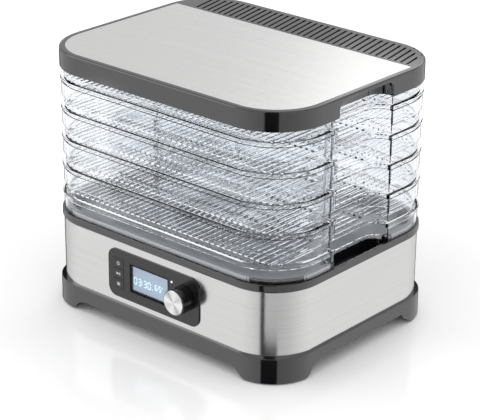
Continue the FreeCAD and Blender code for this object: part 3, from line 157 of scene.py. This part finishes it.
def moulded(name, colour, roughness, ior=1.5, grain=900.0, coat=0.0, bump=0.05):
    """Moulded plastic: a fine surface grain and slow changes of gloss."""
    item, tree, shader = material(name)
    fine = stretched_noise(tree, (grain, grain, grain), detail=2)
    slow = stretched_noise(tree, (14, 14, 14), detail=3)
    low, high = [c * 0.9 for c in colour], [min(1.0, c * 1.12) for c in colour]
    tree.links.new(tinted(tree, slow.outputs["Fac"], low, high), shader.inputs["Base Color"])
    tree.links.new(ranged(tree, slow.outputs["Fac"], roughness * 0.85, roughness * 1.2),
                   shader.inputs["Roughness"])
    bumped(tree, shader, fine.outputs["Fac"], bump, 0.00002)
    shader.inputs["IOR"].default_value = ior
    shader.inputs["Coat Weight"].default_value = coat
    shader.inputs["Coat Roughness"].default_value = 0.05
    return item


def brushed(name, colour, along, roughness=0.3, bump=0.12, contrast=0.10):
    """Brushed steel; the grain runs where along is small and crosses where it is large."""
    item, tree, shader = material(name)
    grain = stretched_noise(tree, along, detail=4)
    low, high = [c * (1 - contrast) for c in colour], [min(1, c * (1 + contrast)) for c in colour]
    tree.links.new(tinted(tree, grain.outputs["Fac"], low, high), shader.inputs["Base Color"])
    tree.links.new(ranged(tree, grain.outputs["Fac"], roughness * 0.8, roughness * 1.25),
                   shader.inputs["Roughness"])
    bumped(tree, shader, grain.outputs["Fac"], bump, 0.00003)
    shader.inputs["Metallic"].default_value = 1.0
    return item


def clear(name, colour, roughness, ior):
    """Clear plastic with faint flow marks from the mould."""
    item, tree, shader = material(name)
    flow = stretched_noise(tree, (30, 30, 12), detail=2)
    tree.links.new(ranged(tree, flow.outputs["Fac"], roughness * 0.6, roughness * 1.5),
                   shader.inputs["Roughness"])
    bumped(tree, shader, flow.outputs["Fac"], 0.08, 0.0002)
    shader.inputs["Base Color"].default_value = (*colour, 1)
    shader.inputs["IOR"].default_value = ior
    shader.inputs["Transmission Weight"].default_value = 1.0
    return item


def lit(name, colour, strength):
    """Backlit surface with a slow fall-off of light across it."""
    item, tree, shader = material(name)
    slow = stretched_noise(tree, (18, 18, 26), detail=1)
    shade = tinted(tree, slow.outputs["Fac"], [c * 0.86 for c in colour], colour)
    tree.links.new(shade, shader.inputs["Emission Color"])
    tree.links.new(shade, shader.inputs["Base Color"])
    shader.inputs["Emission Strength"].default_value = strength
    shader.inputs["Roughness"].default_value = 0.25
    return item


def spun(name, painted_tones):
    """Turned aluminium: the grain runs round the axis; the bright and dark spokes that fan out from
    it are painted reflection, the hourglass highlight painted into the colour.
    """
    item, tree, shader = material(name)
    where = add(tree, "ShaderNodeTexCoord")
    centre = add(tree, "ShaderNodeMapping")
    centre.inputs["Location"].default_value = (-(cap_low.x + cap_high.x) / 2,
                                               (cap_low.z + cap_high.z) / 2, 0)
    centre.inputs["Rotation"].default_value = (math.radians(90), 0, 0)
    angle = add(tree, "ShaderNodeTexGradient", gradient_type="RADIAL")
    # Painted reflection: bright and dark spokes by the angle round the cap.
    painted_reflection_ramp = add(tree, "ShaderNodeValToRGB")
    painted_reflection_ramp.color_ramp.interpolation = "B_SPLINE"
    marks = painted_reflection_ramp.color_ramp.elements
    while len(marks) < len(painted_tones):
        marks.new(0.5)
    for mark, (place, tone) in zip(marks, painted_tones):
        mark.position = place
        mark.color = (tone, tone, tone, 1)
    tree.links.new(where.outputs["Object"], centre.inputs["Vector"])
    tree.links.new(centre.outputs["Vector"], angle.inputs["Vector"])
    tree.links.new(angle.outputs["Fac"], painted_reflection_ramp.inputs["Fac"])
    tree.links.new(painted_reflection_ramp.outputs["Color"], shader.inputs["Base Color"])
    grain = stretched_noise(tree, (900, 900, 900), detail=2)
    bumped(tree, shader, grain.outputs["Fac"], 0.05, 0.00002)
    tangent = add(tree, "ShaderNodeTangent", direction_type="RADIAL", axis="Y")
    tree.links.new(tangent.outputs["Tangent"], shader.inputs["Tangent"])
    shader.inputs["Metallic"].default_value = 1.0
    shader.inputs["Roughness"].default_value = 0.24
    shader.inputs["Anisotropic"].default_value = 0.8
    return item


def math_node(tree, operation, *values):
    """Math node whose inputs are sockets or plain numbers."""
    node = add(tree, "ShaderNodeMath", operation=operation)
    for place, value in enumerate(values):
        if isinstance(value, (int, float)):
            node.inputs[place].default_value = value
        else:
            tree.links.new(value, node.inputs[place])
    return node.outputs[0]


def deck_with_painted_light(name, outside, inside):
    """One tint outside; another on the floor inside the rim, save the finger pockets. The second is
    painted light: a grey-blue brightness on the black deck that stands in for the light seen
    through the clear trays above it.
    """
    item, tree, shader = material(name)
    where = add(tree, "ShaderNodeTexCoord")
    split = add(tree, "ShaderNodeSeparateXYZ")
    tree.links.new(where.outputs["Object"], split.inputs[0])
    x = math_node(tree, "ABSOLUTE", split.outputs["X"])
    y = math_node(tree, "ABSOLUTE", math_node(tree, "SUBTRACT", split.outputs["Y"], HOUSING_Y))
    beyond_x = math_node(tree, "MAXIMUM", math_node(tree, "SUBTRACT", x, DECK_HALF[0]), 0.0)
    beyond_y = math_node(tree, "MAXIMUM", math_node(tree, "SUBTRACT", y, DECK_HALF[1]), 0.0)
    square = math_node(tree, "ADD", math_node(tree, "MULTIPLY", beyond_x, beyond_x),
                       math_node(tree, "MULTIPLY", beyond_y, beyond_y))
    within = math_node(tree, "LESS_THAN", math_node(tree, "SQRT", square), DECK_CORNER)
    pocket_x = math_node(tree, "GREATER_THAN", x, POCKET_X)
    pocket_y = math_node(tree, "LESS_THAN", y, POCKET_Y)
    open_floor = math_node(tree, "SUBTRACT", 1.0, math_node(tree, "MULTIPLY", pocket_x, pocket_y))
    # Painted light: the floor under the trays, without the finger pockets.
    painted_light_mask = math_node(tree, "MULTIPLY", within, open_floor)
    slow = stretched_noise(tree, (14, 14, 14))
    tint = tinted(tree, slow.outputs["Fac"], [c * 0.95 for c in inside], inside)
    mix = add(tree, "ShaderNodeMix", data_type="RGBA")
    colour_in = [socket for socket in mix.inputs if socket.type == "RGBA"]
    colour_out = [socket for socket in mix.outputs if socket.type == "RGBA"][0]
    colour_in[0].default_value = (*outside, 1)
    tree.links.new(tint, colour_in[1])
    tree.links.new(painted_light_mask, mix.inputs["Factor"])
    tree.links.new(colour_out, shader.inputs["Base Color"])
    tree.links.new(ranged(tree, slow.outputs["Fac"], 0.08, 0.12), shader.inputs["Roughness"])
    shader.inputs["IOR"].default_value = GLOSS_IOR
    return item


slots = {
    "black_plastic": moulded("gloss_black_plastic", GLOSS_BLACK, 0.10, ior=GLOSS_IOR,
                             bump=0.02),
    "inner_black": moulded("matt_black_plastic", (0.012, 0.012, 0.013), 0.42),
    "brushed_steel": brushed("brushed_steel", (0.72, 0.72, 0.715), (2.5, 2.5, 2600), 0.17,
                             bump=0.05, contrast=0.05),
    "clear_tray": clear("clear_plastic", (0.964, 0.976, 0.990), 0.015, 1.25),
    "panel_black": moulded("panel_black", (0.008, 0.008, 0.009), 0.14, ior=1.6),
    "clear_window": clear("display_lens", (0.97, 0.98, 0.99), 0.01, 1.2),
    "display": lit("display_backlight", (0.30, 0.37, 0.46), 0.75),
    "button_black": moulded("button_black", (0.02, 0.02, 0.021), 0.3),
    "knob_black": moulded("knob_black", (0.005, 0.005, 0.006), 0.18, ior=1.7),
    # The cap's colour carries a painted reflection.
    "spun_cap": spun("spun_cap", PAINTED_REFLECTION_RAYS),
    "rubber": moulded("rubber", (0.02, 0.02, 0.02), 0.75, bump=0.3),
    "zinc": brushed("zinc_plate", (0.62, 0.62, 0.58), (120, 120, 120), 0.35),
    "sheet_steel": brushed("sheet_steel", (0.55, 0.55, 0.55), (80, 80, 200), 0.38),
    "mica": moulded("mica", (0.52, 0.47, 0.38), 0.5, grain=300),
    "coil": brushed("heating_wire", (0.32, 0.27, 0.23), (200, 200, 900), 0.45),
    "board_green": moulded("board_green", (0.02, 0.13, 0.05), 0.35),
    "component": moulded("component", (0.04, 0.04, 0.045), 0.4),
    "component_light": moulded("component_light", (0.6, 0.57, 0.48), 0.45),
    "fan_plastic": moulded("fan_plastic", (0.05, 0.05, 0.055), 0.4),
    "brass": brushed("brass_pins", (0.72, 0.55, 0.25), (90, 90, 300), 0.3),
    "light": lit("light_pipe", (0.9, 0.93, 0.95), 0.6),
}
PLATE = brushed("lid_plate_steel", (0.78, 0.78, 0.775), (2.5, 2600, 2.5), 0.30, bump=0.05,
                contrast=0.04)


# The deck's floor inside the rim is painted grey-blue as painted light from the clear trays above
# it.
own = {"lid_plate": PLATE,
       "top_deck": deck_with_painted_light("top_deck_painted_light", GLOSS_BLACK, (0.60, 0.62, 0.66))}


def finish_cad_nodes():
    """Give every CAD node the finish of its material slot."""
    for row in frame["record"]["subparts"]:
        node = frame["nodes"][row["node"]]
        finish = own.get(row["node"], slots[row["material_slot"]])
        node.data.materials.clear()
        node.data.materials.append(finish)


finish_cad_nodes()


# ---------------------------------------------------------------- mesh helpers

def piece(name, mesh, finish, body):
    """Object from a finished bmesh, riding on a body."""
    data = bpy.data.meshes.new(name)
    mesh.to_mesh(data)
    mesh.free()
    data.materials.append(finish)
    item = bpy.data.objects.new(name, data)
    scene.collection.objects.link(item)
    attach(item, body)
    return item


def prism(mesh, outline, y_front, y_back):
    """Closed prism from an outline in x and z, between two depths."""
    front = [mesh.verts.new((x, y_front, z)) for x, z in outline]
    back = [mesh.verts.new((x, y_back, z)) for x, z in outline]
    count = len(outline)
    mesh.faces.new(front)
    mesh.faces.new(back[::-1])
    for i in range(count):
        j = (i + 1) % count
        mesh.faces.new((front[j], front[i], back[i], back[j]))


def ring_arc(mesh, centre, inner, outer, start, end, y_front, y_back, steps=24):
    """Part of a flat ring, from a start to an end angle in degrees."""
    angles = [math.radians(start + (end - start) * i / steps) for i in range(steps + 1)]
    outline = [(centre[0] + outer * math.cos(a), centre[1] + outer * math.sin(a)) for a in angles]
    outline += [(centre[0] + inner * math.cos(a), centre[1] + inner * math.sin(a))
                for a in reversed(angles)]
    prism(mesh, outline, y_front, y_back)


def box_outline(x, z, width, height):
    return [(x - width / 2, z - height / 2), (x + width / 2, z - height / 2),
            (x + width / 2, z + height / 2), (x - width / 2, z + height / 2)]


# ---------------------------------------------------------------- control panel details
PRINT = 0.12 * MM    # how far print stands out of its face, and reaches into it
INK = moulded("white_print", (0.78, 0.79, 0.8), 0.4)
SEGMENT = lit("display_digits", (0.62, 0.86, 0.95), 1.0)


def button_marks():
    """Printed symbols: power ring, play and pause, and three short lines for settings."""
    for name in ("power", "start", "set"):
        low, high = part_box(f"button_{name}")
        x, z = (low.x + high.x) / 2, (low.z + high.z) / 2
        depths = (low.y - PRINT, low.y + PRINT)
        mesh = bmesh.new()
        if name == "power":
            ring_arc(mesh, (x, z), 1.5 * MM, 2.0 * MM, 125, 415, *depths)
            prism(mesh, box_outline(x, z + 1.5 * MM, 0.55 * MM, 2.2 * MM), *depths)
        elif name == "start":
            prism(mesh, [(x - 2.6 * MM, z - 1.6 * MM), (x - 0.2 * MM, z),
                         (x - 2.6 * MM, z + 1.6 * MM)], *depths)
            for step in (0.9, 2.2):
                prism(mesh, box_outline(x + step * MM, z, 0.6 * MM, 3.0 * MM), *depths)
        else:
            for row in (-1, 0, 1):
                prism(mesh, box_outline(x, z + row * 1.25 * MM, 4.2 * MM, 0.55 * MM),
                      *depths)
        piece(f"mark_{name}", mesh, INK, f"button_{name}")


# Segments of a digit, as centre and size in units of its half width and half height.
SEGMENTS = {"a": (0, 1, 0), "g": (0, 0, 0), "d": (0, -1, 0),
            "f": (-1, 0.5, 1), "b": (1, 0.5, 1), "e": (-1, -0.5, 1), "c": (1, -0.5, 1)}
DIGITS = {"0": "abcdef", "3": "abgcd", "5": "afgcd", "6": "afgecd"}


def digit(mesh, sign, x, z, half_width, half_height, stroke, front, back):
    for part in DIGITS[sign]:
        dx, dz, upright = SEGMENTS[part]
        size = (stroke, half_height - stroke) if upright else (2 * half_width - stroke, stroke)
        prism(mesh, box_outline(x + dx * half_width, z + dz * half_height, *size), front, back)


def display_digits():
    """A set time and a temperature in seven-segment figures on the display."""
    face = lcd_low.y
    front, back = face - PRINT, face + PRINT
    width = lcd_high.x - lcd_low.x
    height = lcd_high.z - lcd_low.z
    z = lcd_low.z + 0.42 * height
    mesh = bmesh.new()
    for sign, place in (("0", 0.10), ("3", 0.21), ("3", 0.35), ("0", 0.46)):
        digit(mesh, sign, lcd_low.x + place * width, z, 1.9 * MM, 3.7 * MM, 0.95 * MM, front, back)
    for step in (-1, 1):
        prism(mesh, box_outline(lcd_low.x + 0.28 * width, z + step * 1.6 * MM, 0.9 * MM, 0.9 * MM),
              front, back)
    for sign, place in (("6", 0.64), ("5", 0.735)):
        digit(mesh, sign, lcd_low.x + place * width, z + 1.0 * MM, 1.6 * MM, 3.0 * MM, 0.85 * MM,
              front, back)
    ring_arc(mesh, (lcd_low.x + 0.80 * width, z + 3.4 * MM), 0.45 * MM, 0.9 * MM, 0, 330,
             front, back, 12)
    prism(mesh, box_outline(lcd_low.x + 0.54 * width, z - 3.2 * MM, 0.7 * MM, 1.4 * MM),
          front, back)
    piece("display_digits", mesh, SEGMENT, "base")


button_marks()
display_digits()


# ---------------------------------------------------------------- stage
WHITE = 1.22            # what the camera and soft light see
MIRROR_BRIGHT = 1.02    # what gloss mirrors along BRIGHT
MIRROR_DARK = 0.60      # and across it
MIRROR_ABOVE = 0.74     # and overhead
BRIGHT = (0.66, 0.75)
MIRROR_FALL = 2         # power by which it falls off from BRIGHT
RISE = (-0.1, 0.35)     # heights between which the sides give way to overhead
SENSOR = 36
CAMERA = {"azimuth": 41.30, "elevation": 23.06, "roll": 0.46, "lens": 141.8,
          "height": 0.130, "right": -0.0004, "up": 0.0179, "distance": 2.03105}
CORNER_DISTANCE = 0.42  # housing's centre line to the cards for the near corner
END_DISTANCE = 0.55     # and to those for the two ends
FLOOR_HALF = 8.0


def floor():
    size = FLOOR_HALF
    mesh = bpy.data.meshes.new("floor")
    mesh.from_pydata([(-size, -size, 0), (size, -size, 0), (size, size, 0), (-size, size, 0)],
                     [], [(0, 1, 2, 3)])
    item, tree, shader = material("floor_white")
    slow = stretched_noise(tree, (0.6, 0.6, 0.6), detail=1)
    tree.links.new(tinted(tree, slow.outputs["Fac"], (0.94, 0.94, 0.94), (0.96, 0.96, 0.96)),
                   shader.inputs["Base Color"])
    shader.inputs["Roughness"].default_value = 0.14
    shader.inputs["Specular IOR Level"].default_value = 0.42
    mesh.materials.append(item)
    ground = bpy.data.objects.new("floor", mesh)
    ground.location.z = cad_box[0][2]
    ground.visible_glossy = False
    scene.collection.objects.link(ground)


def area(name, place, target, size, power):
    """Soft box that faces a target."""
    data = bpy.data.lights.new(name, "AREA")
    data.shape = "RECTANGLE"
    data.size, data.size_y = size
    data.energy = power
    lamp = bpy.data.objects.new(name, data)
    lamp.location = place
    direction = Vector(target) - Vector(place)
    lamp.rotation_euler = direction.to_track_quat("-Z", "Y").to_euler()
    scene.collection.objects.link(lamp)


def card(name, azimuth, distance, aside, width, low, high):
    """Black card for reflections alone, square to a direction seen from above."""
    angle = math.radians(azimuth)
    mesh = bpy.data.meshes.new(name)
    left, right = aside - width / 2, aside + width / 2
    mesh.from_pydata([(left, 0, low), (right, 0, low), (right, 0, high), (left, 0, high)],
                     [], [(0, 1, 2, 3)])
    item, _, shader = material(name)
    shader.inputs["Base Color"].default_value = (0.002, 0.002, 0.002, 1)
    shader.inputs["Roughness"].default_value = 1.0
    shader.inputs["Specular IOR Level"].default_value = 0.0
    mesh.materials.append(item)
    panel = bpy.data.objects.new(name, mesh)
    panel.location = (HOUSING_X + distance * math.sin(angle),
                      HOUSING_Y - distance * math.cos(angle), 0)
    panel.rotation_euler = (0, 0, angle)
    panel.visible_camera = False
    panel.visible_shadow = False
    panel.visible_diffuse = False
    panel.visible_transmission = False
    scene.collection.objects.link(panel)


def strip(name, place, azimuth, width, low, high, strength):
    """Bright upright strip for reflections alone."""
    card(name, azimuth, 0, 0, width, low, high)
    panel = bpy.data.objects[name]
    panel.location = (*place, 0)
    shader = panel.data.materials[0].node_tree.nodes["Principled BSDF"]
    shader.inputs["Emission Color"].default_value = (1, 1, 1, 1)
    shader.inputs["Emission Strength"].default_value = strength


def world():
    """White surroundings; what gloss mirrors is brightest along BRIGHT and dimmer across it."""
    sky = bpy.data.worlds.new("studio")
    sky.use_nodes = True
    tree = sky.node_tree
    where = add(tree, "ShaderNodeTexCoord")
    dot = add(tree, "ShaderNodeVectorMath", operation="DOT_PRODUCT")
    dot.inputs[1].default_value = (BRIGHT[0], BRIGHT[1], 0)
    lobe = add(tree, "ShaderNodeMath", operation="POWER")
    lobe.inputs[1].default_value = MIRROR_FALL
    height = add(tree, "ShaderNodeSeparateXYZ")
    rise = add(tree, "ShaderNodeMapRange")
    rise.inputs["From Min"].default_value = RISE[0]
    rise.inputs["From Max"].default_value = RISE[1]
    low = add(tree, "ShaderNodeMapRange")
    low.inputs["To Min"].default_value = MIRROR_DARK
    low.inputs["To Max"].default_value = MIRROR_BRIGHT
    blend = add(tree, "ShaderNodeMapRange")
    blend.inputs["To Max"].default_value = MIRROR_ABOVE
    path = add(tree, "ShaderNodeLightPath")
    pick = add(tree, "ShaderNodeMapRange")
    pick.inputs["To Min"].default_value = WHITE
    background = tree.nodes["Background"]
    for source, target in (
            (where.outputs["Generated"], dot.inputs[0]),
            (where.outputs["Generated"], height.inputs[0]),
            (dot.outputs["Value"], lobe.inputs[0]),
            (lobe.outputs[0], low.inputs["Value"]),
            (height.outputs["Z"], rise.inputs["Value"]),
            (rise.outputs["Result"], blend.inputs["Value"]),
            (low.outputs["Result"], blend.inputs["To Min"]),
            (path.outputs["Is Glossy Ray"], pick.inputs["Value"]),
            (blend.outputs["Result"], pick.inputs["To Max"]),
            (pick.outputs["Result"], background.inputs["Strength"])):
        tree.links.new(source, target)
    background.inputs["Color"].default_value = (1, 1, 1, 1)
    scene.world = sky


def camera():
    """Long lens from the right-hand front; the aim is a point on the housing's centre line."""
    a, e, r = (math.radians(CAMERA[key]) for key in ("azimuth", "elevation", "roll"))
    back = Vector((math.sin(a) * math.cos(e), -math.cos(a) * math.cos(e), math.sin(e)))
    right = Vector((0, 0, 1)).cross(back).normalized()
    up = back.cross(right)
    x = right * math.cos(r) + up * math.sin(r)
    y = up * math.cos(r) - right * math.sin(r)
    aim = Vector((HOUSING_X, HOUSING_Y, CAMERA["height"]))
    place = aim - x * CAMERA["right"] - y * CAMERA["up"] + back * CAMERA["distance"]
    data = bpy.data.cameras.new("camera")
    data.lens = CAMERA["lens"]
    data.sensor_width = SENSOR
    data.clip_end = 50
    item = bpy.data.objects.new("camera", data)
    item.matrix_world = Matrix((
        (x.x, y.x, back.x, place.x), (x.y, y.y, back.y, place.y),
        (x.z, y.z, back.z, place.z), (0, 0, 0, 1)))
    scene.collection.objects.link(item)
    scene.camera = item


floor()
world()
area("top_light", (-0.25, 1.05, 1.15), (0.02, 0.1, 0.28), (1.0, 1.0), 3)
area("left_light", (-1.8, -1.4, 1.2), (0, 0, 0.15), (1.6, 1.4), 8)
# Seen in the near corner of the lid, of the steel wrap and of the plinth, from the top down.
card("lid_card", CAMERA["azimuth"], CORNER_DISTANCE, 0.0, 0.128, 0.03, 0.7)
card("wrap_card", CAMERA["azimuth"], CORNER_DISTANCE, -0.080, 0.052, -0.075, 0.03)
card("plinth_card", CAMERA["azimuth"], CORNER_DISTANCE, -0.012, 0.185, -0.5, -0.075)
# Seen in the rounded corners at the two ends of the outline.
card("left_end_card", -115, END_DISTANCE, 0.0, 0.40, -0.6, 0.29)
card("right_end_card", 197, END_DISTANCE, 0.0, 0.34, -0.6, 0.29)
# Seen as upright streaks in the clear walls of the trays.
strip("front_strip", (-0.76, -0.77), -42, 0.05, -0.25, -0.07, 5.0)
strip("side_strip", (0.63, 0.51), 139, 0.030, -0.20, -0.02, 2.5)
strip("rear_strip", (0.70, 0.68), 139, 0.020, -0.20, -0.02, 2.5)
camera()

scene.view_settings.view_transform = "Standard"
scene.cycles.use_denoising = True
scene.cycles.max_bounces = 32
scene.cycles.transmission_bounces = 28
scene.cycles.transparent_max_bounces = 24
scene.cycles.glossy_bounces = 8
